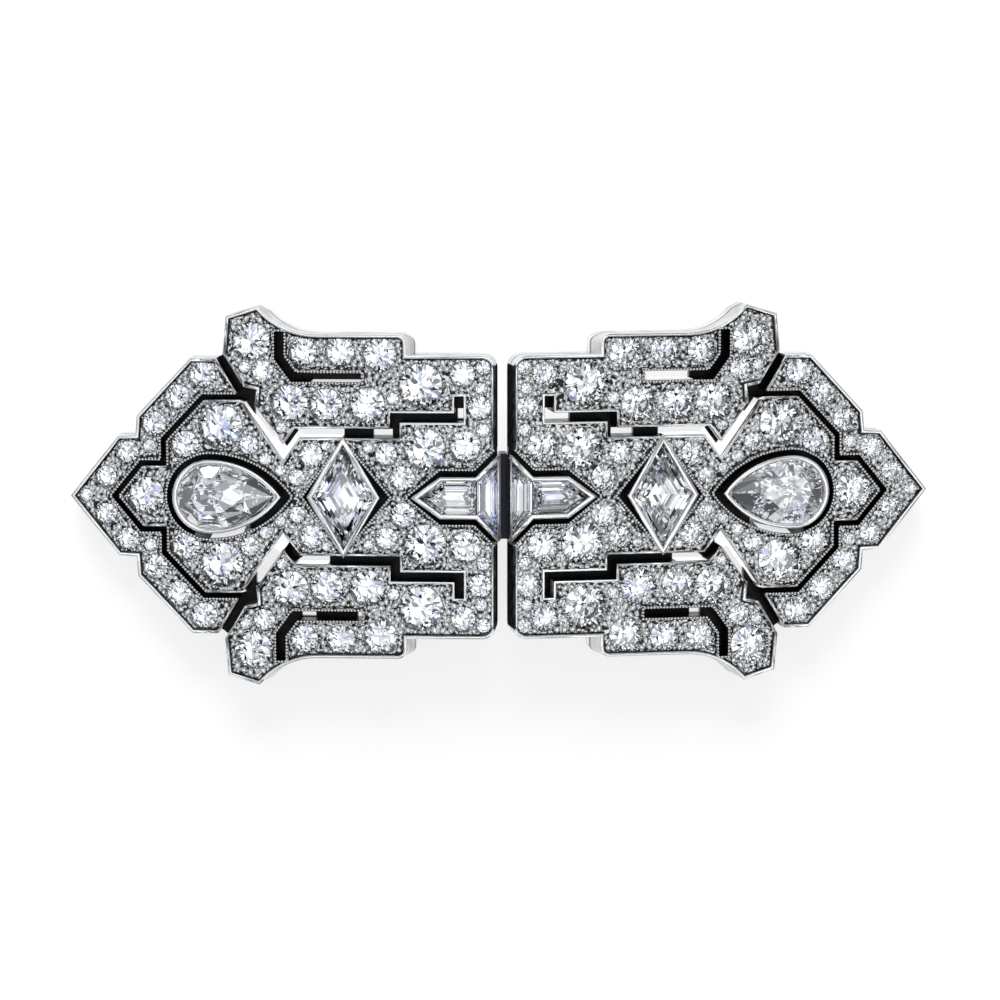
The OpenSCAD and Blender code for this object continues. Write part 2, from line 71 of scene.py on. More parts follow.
def to_world(points, side):
    """Clip points in millimetres as world points in metres."""
    p = np.asarray(points, float)
    c, s = math.cos(CLIP_TILT), math.sin(CLIP_TILT)
    x = p[:, 0] * c + p[:, 2] * s
    z = -p[:, 0] * s + p[:, 2] * c + ROOF_HEIGHT
    return np.stack([x * side, p[:, 1], z], 1) * MM


class Pieces:
    """Collects points and faces of one clip's piece, then makes one mesh of them."""

    def __init__(self):
        self.points = []
        self.faces = []
        self.count = 0

    def add(self, points, faces):
        self.points.append(np.asarray(points, float))
        self.faces.extend([tuple(i + self.count for i in f) for f in faces])
        self.count += len(points)

    def make(self, name, side, material, slot, smooth):
        world = to_world(np.concatenate(self.points), side)
        faces = [f[::-1] for f in self.faces] if side < 0 else self.faces
        mesh = bpy.data.meshes.new(name)
        mesh.from_pydata(world.tolist(), [], faces)
        mesh.update()
        mesh.validate()
        if smooth:
            mesh.shade_smooth()
        mesh.materials.append(material)
        piece = bpy.data.objects.new(name, mesh)
        bpy.context.scene.collection.objects.link(piece)
        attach(piece, "root")
        return piece


# Flat paths. A path is an array of x, y rows, and its metal lies on its left.

SHARPEST_MITRE = 0.35


def directions(path, closed):
    """Unit directions of the stretches after and before each point of a path."""
    ahead = np.roll(path, -1, 0) - path
    if not closed:
        ahead[-1] = ahead[-2]
    ahead /= np.linalg.norm(ahead, axis=1)[:, None]
    behind = np.roll(ahead, 1, 0)
    if not closed:
        behind[0] = ahead[0]
    return ahead, behind


def offset_path(path, d, closed):
    """The path moved to its left by d, mitred at its corners."""
    ahead, behind = directions(path, closed)
    left_a, left_b = ahead[:, ::-1] * (-1, 1), behind[:, ::-1] * (-1, 1)
    spread = np.maximum(1 + (ahead * behind).sum(1), SHARPEST_MITRE)
    return path + (left_a + left_b) * (d / spread)[:, None]


def turning_area(path):
    """Twice the area inside a closed path: positive counterclockwise, negative round a hole."""
    after = np.roll(path, -1, 0)
    return (path[:, 0] * after[:, 1] - after[:, 0] * path[:, 1]).sum()


def points_along(path, pitch, closed):
    """Evenly spaced points along a path."""
    line = np.vstack([path, path[:1]]) if closed else path
    steps = np.linalg.norm(np.diff(line, axis=0), axis=1)
    reach = np.concatenate([[0], np.cumsum(steps)])
    count = max(1, round(reach[-1] / pitch))
    places = (np.arange(count) + (0 if closed else 0.5)) * reach[-1] / count
    return np.stack([np.interp(places, reach, line[:, k]) for k in (0, 1)], 1)


def band_faces(n, rows, closed):
    """Faces between rows of n points each, from every row to the next."""
    faces = []
    for k in range(rows - 1):
        for i in range(n if closed else n - 1):
            j = (i + 1) % n
            faces.append((k * n + i, k * n + j, (k + 1) * n + j, (k + 1) * n + i))
    return faces


def swept(path, profile, closed):
    """Points and faces of a profile of [offset, height] rows led along a path. Open ends are closed."""
    n, m = len(path), len(profile)
    rows = [np.column_stack([offset_path(path, d, closed), np.full(n, z)]) for d, z in profile]
    faces = band_faces(n, m, closed)
    if not closed and m > 2:
        faces.append(tuple(k * n for k in range(m)))
        faces.append(tuple(k * n + n - 1 for k in reversed(range(m))))
    return np.concatenate(rows), faces


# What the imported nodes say: the edges of the mounts' faces, and the stones' places

LEVEL_SLACK = 0.004
FACING_UP = 0.99
WALL_LEAN = 0.5
BRIDGED = 1.3


def welded(node, side):
    """A node's points in clip coordinates without doubles, and its triangles, facing outwards."""
    mesh = node.data
    flat = np.empty(len(mesh.vertices) * 3)
    mesh.vertices.foreach_get("co", flat)
    points = to_clip(flat.reshape(-1, 3), side)
    _, first, number = np.unique(np.round(points, 3), axis=0, return_index=True, return_inverse=True)
    mesh.calc_loop_triangles()
    corners = np.empty(len(mesh.loop_triangles) * 3, np.int32)
    mesh.loop_triangles.foreach_get("vertices", corners)
    tris = number.reshape(-1)[corners].reshape(-1, 3)
    if side < 0:
        tris = tris[:, ::-1]
    flat_ones = (tris == np.roll(tris, 1, 1)).any(1)
    return points[first], tris[~flat_ones]


def face_edges(points, tris, level, deep):
    """Paths round the flat faces at a level, where what lies beside them drops by at least deep."""
    a, b, c = (points[tris[:, k]] for k in range(3))
    normals = np.cross(b - a, c - a)
    normals /= np.linalg.norm(normals, axis=1)[:, None] + 1e-12
    owner = {}
    for t, tri in enumerate(tris):
        for k in range(3):
            owner[(tri[k], tri[(k + 1) % 3])] = t
    following = {}
    for (p, q), t in owner.items():
        at_level = max(abs(points[k, 2] - level) for k in (p, q)) < LEVEL_SLACK
        other = owner.get((q, p))
        if not at_level or normals[t, 2] < FACING_UP or other is None or normals[other, 2] > WALL_LEAN:
            continue
        far = [k for k in tris[other] if k not in (p, q)][0]
        if points[far, 2] < level - deep:
            following[p] = q
    return joined(points, chained(following))


def chained(following):
    """Runs of point numbers that follow each other. A closed run repeats its first point."""
    starts = set(following) - set(following.values())
    used, chains = set(), []
    for start in sorted(starts) + sorted(following):
        if start in used:
            continue
        chain = [start]
        while chain[-1] in following and chain[-1] not in used:
            used.add(chain[-1])
            chain.append(following[chain[-1]])
        chains.append(chain)
    return chains


def joined(points, chains):
    """Paths of the chains, with the short breaks where a stone's seat cuts an edge bridged."""
    closed = [c[:-1] for c in chains if c[0] == c[-1]]
    runs = [c for c in chains if c[0] != c[-1]]
    open_runs = []
    while runs:
        run = runs.pop(0)
        grown = True
        while grown:
            grown = False
            end = points[run[-1], :2]
            for other in runs + [run]:
                if np.linalg.norm(points[other[0], :2] - end) > BRIDGED:
                    continue
                if other is run:
                    closed.append(run)
                    run = None
                    break
                run = run + other
                runs.remove(other)
                grown = True
                break
            if run is None:
                break
        if run is not None:
            open_runs.append(run)
    return [(points[c, :2], True) for c in closed] + [(points[c, :2], False) for c in open_runs]


def stone_places(node, side):
    """Centre and radius of each loose stone of a node, in clip coordinates."""
    points, tris = welded(node, side)
    group = np.arange(len(points))
    while True:
        low = group[tris].min(1)
        before = group.copy()
        for k in range(3):
            np.minimum.at(group, tris[:, k], low)
        group = group[group]
        if (group == before).all():
            break
    places = []
    for g in np.unique(group):
        own = points[group == g]
        low, high = own.min(0), own.max(0)
        places.append(((low[:2] + high[:2]) / 2, (high[:2] - low[:2]).max() / 2))
    return places


# Materials

def material(name, **values):
    """A material whose shader has these values. Returns it with its nodes, its links and the shader."""
    made = bpy.data.materials.new(name)
    made.use_nodes = True
    nodes, links = made.node_tree.nodes, made.node_tree.links
    shader = nodes["Principled BSDF"]
    for key, value in values.items():
        shader.inputs[key.replace("_", " ")].default_value = value
    return made, nodes, links, shader


def noise_node(nodes, links, scale, detail=3):
    """Noise over the object's own coordinates, in features a metre."""
    coordinates = nodes.new("ShaderNodeTexCoord")
    noise = nodes.new("ShaderNodeTexNoise")
    noise.inputs["Scale"].default_value = scale
    noise.inputs["Detail"].default_value = detail
    links.new(coordinates.outputs["Object"], noise.inputs["Vector"])
    return noise


def ramp_node(nodes, links, source, stops):
    """A ramp with stops of place and tone, where a tone is a grey or a colour."""
    ramp = nodes.new("ShaderNodeValToRGB")
    elements = ramp.color_ramp.elements
    while len(elements) < len(stops):
        elements.new(0.5)
    for element, (place, tone) in zip(elements, stops):
        element.position = place
        element.color = (*tone, 1) if isinstance(tone, tuple) else (tone, tone, tone, 1)
    links.new(source, ramp.inputs["Fac"])
    return ramp


def math_node(nodes, links, operation, a, b=0.0, c=0.0):
    """The result of one sum, whose terms are numbers or sockets."""
    node = nodes.new("ShaderNodeMath")
    node.operation = operation
    for socket, value in zip(node.inputs, (a, b, c)):
        if isinstance(value, (int, float)):
            socket.default_value = value
        else:
            links.new(value, socket)
    return node.outputs[0]


def bump(nodes, links, shader, height, distance, strength):
    """Unevenness of the surface, distance in metres."""
    node = nodes.new("ShaderNodeBump")
    node.inputs["Distance"].default_value = distance
    node.inputs["Strength"].default_value = strength
    links.new(height, node.inputs["Height"])
    links.new(node.outputs["Normal"], shader.inputs["Normal"])


def polished_metal(name, tone, smoothest, roughest):
    """Bright metal whose gloss varies a little, with a faint hammered unevenness."""
    made, nodes, links, shader = material(name, Metallic=1.0, Base_Color=(*tone, 1))
    gloss = noise_node(nodes, links, scale=900)
    ramp = ramp_node(nodes, links, gloss.outputs["Fac"], [(0.3, smoothest), (0.7, roughest)])
    links.new(ramp.outputs["Color"], shader.inputs["Roughness"])
    wear = noise_node(nodes, links, scale=2500, detail=2)
    bump(nodes, links, shader, wear.outputs["Fac"], distance=0.00001, strength=0.35)
    return made


def place_nodes(nodes, links):
    """Sockets of a point's distance from the middle plane and of its height, in metres."""
    coordinates = nodes.new("ShaderNodeTexCoord")
    split = nodes.new("ShaderNodeSeparateXYZ")
    links.new(coordinates.outputs["Object"], split.inputs[0])
    return math_node(nodes, links, "ABSOLUTE", split.outputs["X"]), split.outputs["Z"]


def depth_share(nodes, links):
    """How deep a point lies below its clip's face: 0 at the face, 1 at the foot of the clip's walls."""
    across, up = place_nodes(nodes, links)
    sloped = math_node(nodes, links, "MULTIPLY", across, math.sin(CLIP_TILT))
    upright = math_node(nodes, links, "MULTIPLY", up, math.cos(CLIP_TILT))
    height = math_node(nodes, links, "ADD", sloped, upright)
    face = ROOF_HEIGHT * MM * math.cos(CLIP_TILT)
    depth = math_node(nodes, links, "SUBTRACT", face, height)
    return math_node(nodes, links, "DIVIDE", depth, CLIP_DEPTH * MM)


def patchy_metal(name, dark, light, **values):
    """Metal whose tone wanders between dark and light."""
    made, nodes, links, shader = material(name, **values)
    patches = noise_node(nodes, links, scale=1800, detail=2)
    tone = ramp_node(nodes, links, patches.outputs["Fac"], [(0.4, dark), (0.6, light)])
    links.new(tone.outputs["Color"], shader.inputs["Base Color"])
    return made


def mount_metal():
    """The mounts' metal: patchy between the grains, and painted near black deep in the slots as painted
    shade.
    """
    painted_shade_tone = 0.014
    made, nodes, links, shader = material("platinum_mount", Metallic=1.0)
    # Painted shade: below the face the patches give way to the near-black tone, so the slots are painted
    # dark.
    at_face = ramp_node(nodes, links, depth_share(nodes, links), [(0.1, 1.0), (0.16, 0.0)])
    patches = noise_node(nodes, links, scale=3200, detail=1)
    patch_tone = ramp_node(nodes, links, patches.outputs["Fac"], [(0.45, 0.01), (0.5, 0.1), (0.56, 0.8)])
    base = math_node(
        nodes, links, "MULTIPLY_ADD", at_face.outputs["Color"], patch_tone.outputs["Color"], painted_shade_tone
    )
    links.new(base, shader.inputs["Base Color"])
    grain = noise_node(nodes, links, scale=1500)
    ramp = ramp_node(nodes, links, grain.outputs["Fac"], [(0.3, 0.22), (0.7, 0.38)])
    links.new(ramp.outputs["Color"], shader.inputs["Roughness"])
    bump(nodes, links, shader, grain.outputs["Fac"], distance=0.00003, strength=0.5)
    return made


def wall_metal():
    """The outline's walls: light and faintly streaked, with a dark line of painted shade over the rail and
    one at the foot.
    """
    made, nodes, links, shader = material("wall_metal", Metallic=1.0, Roughness=0.32)
    share = depth_share(nodes, links)
    # The dark stops a little past half way down and near the foot are painted shade.
    tone = ramp_node(nodes, links, share, [
        (0.0, 0.5), (0.1, 0.8), (0.45, 0.7), (0.51, 0.2), (0.55, 0.2), (0.6, 0.93), (0.88, 0.95), (0.95, 0.3)
    ])
    streaks = noise_node(nodes, links, scale=500, detail=2)
    streak_tone = ramp_node(nodes, links, streaks.outputs["Fac"], [(0.38, 0.72), (0.55, 1.0)])
    base = math_node(nodes, links, "MULTIPLY", tone.outputs["Color"], streak_tone.outputs["Color"])
    links.new(base, shader.inputs["Base Color"])
    return made


def seat_material(name, glows):
    """Bright metal below the bezelled stones, glowing with painted light in place of the light that comes in
    from the open back.
    """
    made, nodes, links, shader = material(
        name, Metallic=0.6, Base_Color=(0.9, 0.9, 0.91, 1), Roughness=0.4, Emission_Strength=1.0
    )
    patches = noise_node(nodes, links, scale=700, detail=1)
    glow = ramp_node(nodes, links, patches.outputs["Fac"], glows)
    links.new(glow.outputs["Color"], shader.inputs["Emission Color"])
    return made


def frame_metal():
    """The frame's metal: satin, glowing faintly where it is low as painted light, and painted dark on the
    spine but for its edges as painted shade.
    """
    made, nodes, links, shader = material("frame_metal", Metallic=1.0, Roughness=0.4, Emission_Strength=1.0)
    across, up = place_nodes(nodes, links)
    height = math_node(nodes, links, "DIVIDE", up, ROOF_HEIGHT * MM)
    from_middle = math_node(nodes, links, "DIVIDE", across, SPINE_HALF * MM)
    edge = ramp_node(nodes, links, from_middle, [(0.79, 0.0), (0.83, 1.0)])
    level = math_node(nodes, links, "MULTIPLY_ADD", edge.outputs["Color"], -0.5, height)
    # Painted shade: the spine's top is painted near black, and its edges are left light.
    tone = ramp_node(nodes, links, level, [(0.5, (0.6, 0.6, 0.6)), (0.62, (0.025, 0.024, 0.034))])
    links.new(tone.outputs["Color"], shader.inputs["Base Color"])
    # Painted light: the low parts glow faintly.
    glow = ramp_node(nodes, links, height, [(0.5, 0.4), (0.6, 0.0)])
    links.new(glow.outputs["Color"], shader.inputs["Emission Color"])
    grain = noise_node(nodes, links, scale=1200)
    bump(nodes, links, shader, grain.outputs["Fac"], distance=0.00002, strength=0.4)
    return made


def diamond_material(name, glow):
    """Clear stone. The glow lifts the facets that would mirror nothing but darkness."""
    return material(
        name, Base_Color=(0.98, 0.985, 1, 1), Roughness=0.0, IOR=2.42, Transmission_Weight=1.0,
        Emission_Color=(0.93, 0.96, 1, 1), Emission_Strength=glow
    )[0]


# Stones. Rings are drawn round the girdle's centre, with the table at the top.

# Where the corners of a brilliant's facets lie, as shares of its radius
TABLE_SHARE = 0.54
STAR_SHARE = 0.79
BREAK_SHARE = 0.3
CULET_SHARE = 0.05
GIRDLE_SHARE = 0.035
MAINS = 8
# The pear's point, in radii of its round end
PEAR_LENGTH = 1.976


def circle(angle):
    """A round stone's girdle for a radius of 1."""
    return math.cos(angle), math.sin(angle)


def pear(angle):
    """A pear's girdle for a round end of radius 1: a half circle, and two arcs that meet in the point."""
    if math.cos(angle) >= 0:
        return circle(angle)
    bend = (PEAR_LENGTH ** 2 + 1) / 2
    b = abs(math.sin(angle)) * (1 - bend)
    reach = b + math.sqrt(b * b + 2 * bend - 1)
    return reach * math.cos(angle), reach * math.sin(angle)


def brilliant(radius, crown, pavilion, outline=circle, turn=0.0):
    """Brilliant cut with flat main facets over a girdle, outline(angle). Returns its points and faces."""
    mains = MAINS
    step = math.pi / mains
    reach = math.cos(step)
    g = GIRDLE_SHARE

    def ring(share, height, half_steps):
        rows = []
        for k in half_steps:
            x, y = outline(turn + k * step)
            rows.append((x * share * radius, y * share * radius, height * radius))
        return rows

    full = [2 * k for k in range(mains)]
    odd = [2 * k + 1 for k in range(mains)]
    quarter = [k / 2 for k in range(4 * mains)]

    def crown_z(share):
        return g + (1 - share * reach) * (crown - g) / (1 - TABLE_SHARE)

    def pavilion_z(share):
        return -g - (1 - share * reach) * (pavilion - g)

    # Between a main facet and the next, the half facets rise a little at the girdle
    def scallop(k):
        offset = abs((k / 2 + 0.5) % 1 - 0.5) * 2
        return 0.5 * offset * (1 - math.cos(step))

    table = ring(TABLE_SHARE, crown, full)
    stars = ring(STAR_SHARE, crown_z(STAR_SHARE), odd)
    top = [(*p[:2], (g + scallop(k)) * radius) for p, k in zip(ring(1, g, quarter), quarter)]
    low = [(*p[:2], -(g + scallop(k)) * radius) for p, k in zip(ring(1, -g, quarter), quarter)]
    breaks = ring(BREAK_SHARE, pavilion_z(BREAK_SHARE), odd)
    culet = ring(CULET_SHARE, -g - (1 - CULET_SHARE) * (pavilion - g), full)
    points = table + stars + top + low + breaks + culet
    s0 = mains
    t0 = s0 + mains
    l0 = t0 + 4 * mains
    b0 = l0 + 4 * mains
    c0 = b0 + mains
    faces = [tuple(range(mains)), tuple(c0 + k for k in reversed(range(mains)))]
    for i in range(mains):
        j, h = (i + 1) % mains, (i - 1) % mains
        g0, g1, g2, g3, g4 = ((4 * i + k) % (4 * mains) for k in range(5))
        faces += [
            (i, s0 + i, j),
            (i, s0 + h, t0 + g0, s0 + i),
            (s0 + i, t0 + g0, t0 + g1, t0 + g2),
            (s0 + i, t0 + g2, t0 + g3, t0 + g4),
            (b0 + i, l0 + g2, l0 + g1, l0 + g0),
            (b0 + i, l0 + g4, l0 + g3, l0 + g2),
            (c0 + i, b0 + i, l0 + g0, b0 + h),
            (c0 + i, c0 + j, b0 + i),
        ]
        for k in range(4):
            p, q = (4 * i + k) % (4 * mains), (4 * i + k + 1) % (4 * mains)
            faces.append((t0 + q, t0 + p, l0 + p, l0 + q))
    return points, faces


def step_cut(outline, crown_steps, pavilion_steps):
    """Step cut over a closed outline: rows of [inset, height] from the table to the keel."""
    outline = np.asarray(outline, float)
    rings = crown_steps + pavilion_steps
    n = len(outline)
    points = np.concatenate([
        np.column_stack([offset_path(outline, d, True), np.full(n, z)]) for d, z in rings
    ])
    faces = [tuple(range(n)), tuple((len(rings) - 1) * n + i for i in reversed(range(n)))]
    faces += [(a, d, c, b) for a, b, c, d in band_faces(n, len(rings), True)]
    return points, faces


def placed(points, centre, height, lean=(0.0, 0.0)):
    """Points about a stone's own centre moved to its place, leaning by a small slope along x and y."""
    p = np.asarray(points, float)
    z = p[:, 2] + p[:, 0] * lean[0] + p[:, 1] * lean[1]
    return np.column_stack([p[:, 0] + centre[0], p[:, 1] + centre[1], z + height])


# Beads

def dome(sides=8, rings=3, drop=0.35):
    """Points and faces of a half ball of radius 1, over a base that is sunk by drop."""
    points = []
    for k in range(rings):
        angle = math.pi / 2 * k / rings
        for i in range(sides):
            turn = 2 * math.pi * i / sides
            ring = math.cos(angle)
            points.append((ring * math.cos(turn), ring * math.sin(turn), math.sin(angle)))
    foot = 0.95
    base = [(x * foot, y * foot, -drop) for x, y, _ in points[:sides]]
    points = base + points + [(0, 0, 1)]
    faces = band_faces(sides, rings + 1, True)
    tip = len(points) - 1
    faces += [(rings * sides + i, rings * sides + (i + 1) % sides, tip) for i in range(sides)]
    return np.array(points), faces


DOME = dome()
# How long, wide and high a grain is, from least to most, as shares of its radius
GRAIN_SHAPE = [(1.0, 1.3), (0.72, 1.02), (0.7, 1.1)]


def add_bead(pieces, place, radius, height, rng=None):
    """A dome, or with rng a grain that is a little long, turned and uneven in height."""
    points, faces = DOME
    size = np.full(3, radius)
    turn = 0.0
    if rng is not None:
        size = radius * np.array([rng.uniform(*span) for span in GRAIN_SHAPE])
        turn = rng.uniform(0, math.pi)
    x, y, z = (points * size).T
    c, s = math.cos(turn), math.sin(turn)
    pieces.add(np.stack([x * c - y * s + place[0], x * s + y * c + place[1], z + height], 1), faces)


# Metal that is drawn along the mounts' edges

# Profiles are rows of [offset from the edge into the metal, height over the face]
RIM_PROFILE = [
    (-0.02, -0.4), (-0.035, -0.1), (-0.03, 0.0), (-0.01, 0.045), (0.03, 0.065), (0.17, 0.065), (0.21, 0.045),
    (0.23, 0.0), (0.23, -0.1)
]
WIRE_PROFILE = [
    (-0.01, -0.15), (-0.02, -0.02), (0.0, 0.035), (0.03, 0.05), (0.12, 0.05), (0.15, 0.03), (0.17, -0.02),
    (0.17, -0.1)
]
BEZEL_PROFILE = [
    (-0.1, -0.3), (-0.11, -0.03), (-0.08, 0.03), (-0.03, 0.05), (0.18, 0.05), (0.23, 0.02), (0.26, -0.05),
    (0.26, -0.2)
]
INNER_PROFILE = [(0.15, -0.1), (0.15, 0.03), (0.18, 0.05), (0.28, 0.05), (0.31, 0.03), (0.31, -0.2)]
# The lip down the inner edge's wall is painted shade, black without gloss.
INNER_LIP = [(-0.02, -2.6), (-0.03, 0.0), (-0.01, 0.03), (0.15, 0.035)]
COLLAR = [(-0.09, -0.95), (-0.09, -0.25)]
# Painted shade lies in the groove behind a rim, and under the milgrain: dark strips of the shaded metal
GROOVES = {
    "rim": [(0.2, -0.1), (0.34, -0.21)],
    "milgrain": [(-0.005, -0.1), (-0.005, 0.006), (0.16, 0.006), (0.24, -0.2)],
}
PROFILES = {"rim": RIM_PROFILE, "inner": INNER_PROFILE, "wire": WIRE_PROFILE, "bright_wire": WIRE_PROFILE}
# Walls are rows of [height, share of the flare]. The flare grows over a millimetre from FLARE_FROM.
WALL_ROWS = [(-0.1, 0.0), (-0.5, 0.3), (-1.0, 0.7), (-1.5, 1.0), (-2.7, 1.0)]
LIT_ROWS = [(-0.7, 0.0), (-2.7, 0.0)]
WALL_FLARE = 0.62
WALL_GAP = 0.02
FLARE_FROM = 3.5
# The stretch of the slot's wall below the pear that glows as painted light
CRESCENT_PROFILE = [(-0.02, -0.4), (-0.26, -2.5)]
CRESCENT_SHIFT, CRESCENT_HALF, CRESCENT_BELOW = 1.4, 1.7, -2.4
# An edge this near the middle is the clip's inner edge, and the bezel there has an inner end
INNER_EDGE = 0.77
BEZEL_INNER_EDGE = 0.6
MILGRAIN_PITCH = 0.256
MILGRAIN_R = 0.126
MILGRAIN_INSET = 0.065
MILGRAIN_HEIGHT = -0.01

# Slots repeated from the construction: name, width, and centre line as x, distance from the axis
SLOTS = [
    ("chevron", 0.44, [(30.55, 0), (28.42, 2.6), (26.68, 2.6), (26.68, 4.45), (23.55, 7.8), (20.4, 7.8)]),
    ("arrow", 0.1, [(7.65, 0), (5.05, 2.12), (2.35, 2.12), (0, 4.5)]),
    ("horn", 0.68, [(22.75, 11.87), (20.56, 8.22)]),
    ("scroll", 0.76, [
        (20.15, 7.5), (17.33, 3.48), (16.22, 5), (8.55, 5), (8.55, 6.25), (3.55, 6.25), (3.55, 7.95)
    ]),
    ("arm", 0.76, [(17.58, 12.95), (17.58, 10.9), (16.48, 9.38), (11.15, 9.38)]),
]
# The edges that carry milgrain: slot, side (1 is the left of the centre line), its stretches from the first
BEADED_EDGES = {
    ("chevron", 1): (0, 2, 3),
    ("chevron", -1): (0, 1, 2, 3, 4),
    ("arrow", 1): (0, 1, 2),
    ("arrow", -1): (0, 1, 2),
    ("arm", 1): (0, 1, 2),
    ("arm", -1): (0, 1, 2),
}
SLOT_REACH = 0.06
# The face's edges are those where it drops at least this far
LEAST_DROP = 0.6
# What is drawn along them: the first word of the piece's name, its metal, and whether it is shaded smooth
EDGE_PIECES = [
    ("rims", "rim", True),
    ("milgrain", "bead", True),
    ("walls", "wall", False),
    ("shade_walls", "shade", False),
    ("glowing_walls", "lit", False),
]
# The slots round the pear and the lozenge: how far out they reach, and how far from the axis at most
STONE_SLOTS = ((8.5, 16.5), (17.0, 28.5))
STONE_SLOT_HALF = 4.6
# The scroll slot is seen through in places, and its walls glow there as painted light: its stretches in
# either half, and how far out and in they reach
BRIGHT_STRETCHES = {"upper": (0, 1, 2), "lower": (0, 2)}
BRIGHT_TO = 19.7
BRIGHT_FROM = {"upper": 12.75, "lower": 13.9}
# Wall of the upper arm slot that glows as painted light
ARM_WALL = [(15.1, 9.0), (11.15, 9.0)]
ARM_ROWS = [(-0.25, 0.0), (-2.7, 0.0)]
# Ledges in the V of the scroll slots, each a line and its profile: lit ones, glowing as painted light, at
# both points and below the upper short leg, dark ones of painted shade along that leg's other edge and below
# the whole lower short leg
LIT_LEDGES = [
    ([(18.12, 4.6), (17.01, 3.03)], [(-0.42, -0.9), (0.42, -0.9)]),
    ([(17.9, -4.29), (17.01, -3.03)], [(-0.42, -0.9), (0.42, -0.9)]),
    ([(17.3, 3.52), (16.1, 5.16)], [(-0.04, -0.93), (0.42, -0.93)]),
]
DARK_LEDGES = [
    ([(17.04, 3.88), (16.12, 5.13)], [(-0.42, -0.96), (0.1, -0.96)]),
    ([(17.08, -3.82), (16.16, -5.08)], [(-0.42, -2.4), (0.42, -2.4)]),
]


def half_of(place):
    """The half of the brooch that a place is in."""
    return "upper" if place[1] > 0 else "lower"


def slot_style(middle):
    """How the edge at a point is finished: as the outline's rim, as a plain wire, or with milgrain."""
    x, y = middle[0], abs(middle[1])
    for name, width, line in SLOTS:
        for k in range(len(line) - 1):
            a, b = np.array(line[k], float), np.array(line[k + 1], float)
            along = b - a
            share = np.clip(np.dot((x, y) - a, along) / np.dot(along, along), 0, 1)
            away = (x, y) - (a + share * along)
            if np.hypot(*away) > width / 2 + SLOT_REACH:
                continue
            hand = 1 if along[0] * away[1] - along[1] * away[0] > 0 else -1
            if k in BEADED_EDGES.get((name, hand), ()):
                return "milgrain"
            bright = name == "scroll" and k in BRIGHT_STRETCHES[half_of(middle)] and x < BRIGHT_TO
            return "bright_wire" if bright else "wire"
    return "inner" if x < INNER_EDGE else "rim"


def styled_runs(path, closed):
    """The path cut into runs of one finish: (points, closed, finish)."""
    line = np.vstack([path, path[:1]]) if closed else path
    styles = [slot_style((line[k] + line[k + 1]) / 2) for k in range(len(line) - 1)]
    if len(set(styles)) == 1:
        return [(path, closed, styles[0])]
    changes = [k for k in range(len(styles)) if styles[k] != styles[k - 1]]
    if not closed and 0 not in changes:
        changes.insert(0, 0)
    runs = []
    for number, first in enumerate(changes):
        last = changes[(number + 1) % len(changes)]
        if number == len(changes) - 1 and not closed:
            last = len(styles)
        count = (last - first) % len(styles) or len(styles)
        rows = [line[(first + k) % len(styles)] for k in range(count)]
        rows.append(line[(first + count - 1) % len(styles) + 1])
        runs.append((np.array(rows), False, styles[first]))
    return runs


def edge_metal(points, tris, name, side, metals):
    """What follows the edges of a mount's faces: rims, wires, bezels, milgrain, and the walls below them."""
    made = {word: Pieces() for word, _, _ in EDGE_PIECES}
    for path, closed in face_edges(points, tris, 0.0, LEAST_DROP):
        hole = closed and turning_area(path) < 0
        for run, run_closed, style in styled_runs(path, closed):
            if style == "rim" and hole and not run_closed:
                style = "wire"
            if style == "rim" and near_stone_slot(run):
                style = "milgrain"
            finish_run(run, run_closed, style, made)
    made["glowing_walls"].add(*outer_wall(np.array(ARM_WALL), False, ARM_ROWS))
    for word, ledges in (("glowing_walls", LIT_LEDGES), ("shade_walls", DARK_LEDGES)):
        for line, profile in ledges:
            made[word].add(*swept(np.array(line), profile, False))
    for path, _ in face_edges(points, tris, BEZEL_RISE, 0.0):
        if turning_area(path) > 0:
            for run, run_closed, profile in bezel_runs(path):
                made["rims"].add(*swept(run, [(d, BEZEL_RISE + z) for d, z in profile], run_closed))
                made["walls"].add(*swept(run, COLLAR, run_closed))
    for word, metal, smooth in EDGE_PIECES:
        made[word].make(word + "_" + name, side, metals[metal], "platinum", smooth)


def finish_run(run, closed, style, made):
    """One run of an edge in its finish, added to the pieces that its metal belongs to."""
    # The groove's dark strip is painted shade.
    if style in GROOVES:
        made["shade_walls"].add(*swept(run, GROOVES[style], closed))
    if style == "milgrain":
        crescent = below_pear(run)
        if len(crescent) > 2:
            made["glowing_walls"].add(*swept(crescent, CRESCENT_PROFILE, False))
        for place in points_along(offset_path(run, MILGRAIN_INSET, closed), MILGRAIN_PITCH, closed):
            add_bead(made["milgrain"], place, MILGRAIN_R, MILGRAIN_HEIGHT)
        return
    made["rims"].add(*swept(run, PROFILES[style], closed))
    if style == "rim":
        made["walls"].add(*outer_wall(run, closed, WALL_ROWS, WALL_FLARE))
    elif style == "bright_wire":
        # Below the bright wire the wall glows as painted light.
        lit_run = part_beyond(run, BRIGHT_FROM[half_of(run[0])])
        if len(lit_run) > 1:
            made["glowing_walls"].add(*outer_wall(lit_run, False, LIT_ROWS))
    elif style == "inner":
        made["shade_walls"].add(*swept(run, INNER_LIP, closed))


def part_beyond(run, x):
    """The part of an open run that lies farther out than x."""
    rows = []
    for a, b in zip(run, run[1:]):
        if a[0] > x:
            rows.append(a)
        if (a[0] > x) != (b[0] > x):
            rows.append(a + (b - a) * (x - a[0]) / (b[0] - a[0]))
    if run[-1][0] > x:
        rows.append(run[-1])
    return np.array(rows)


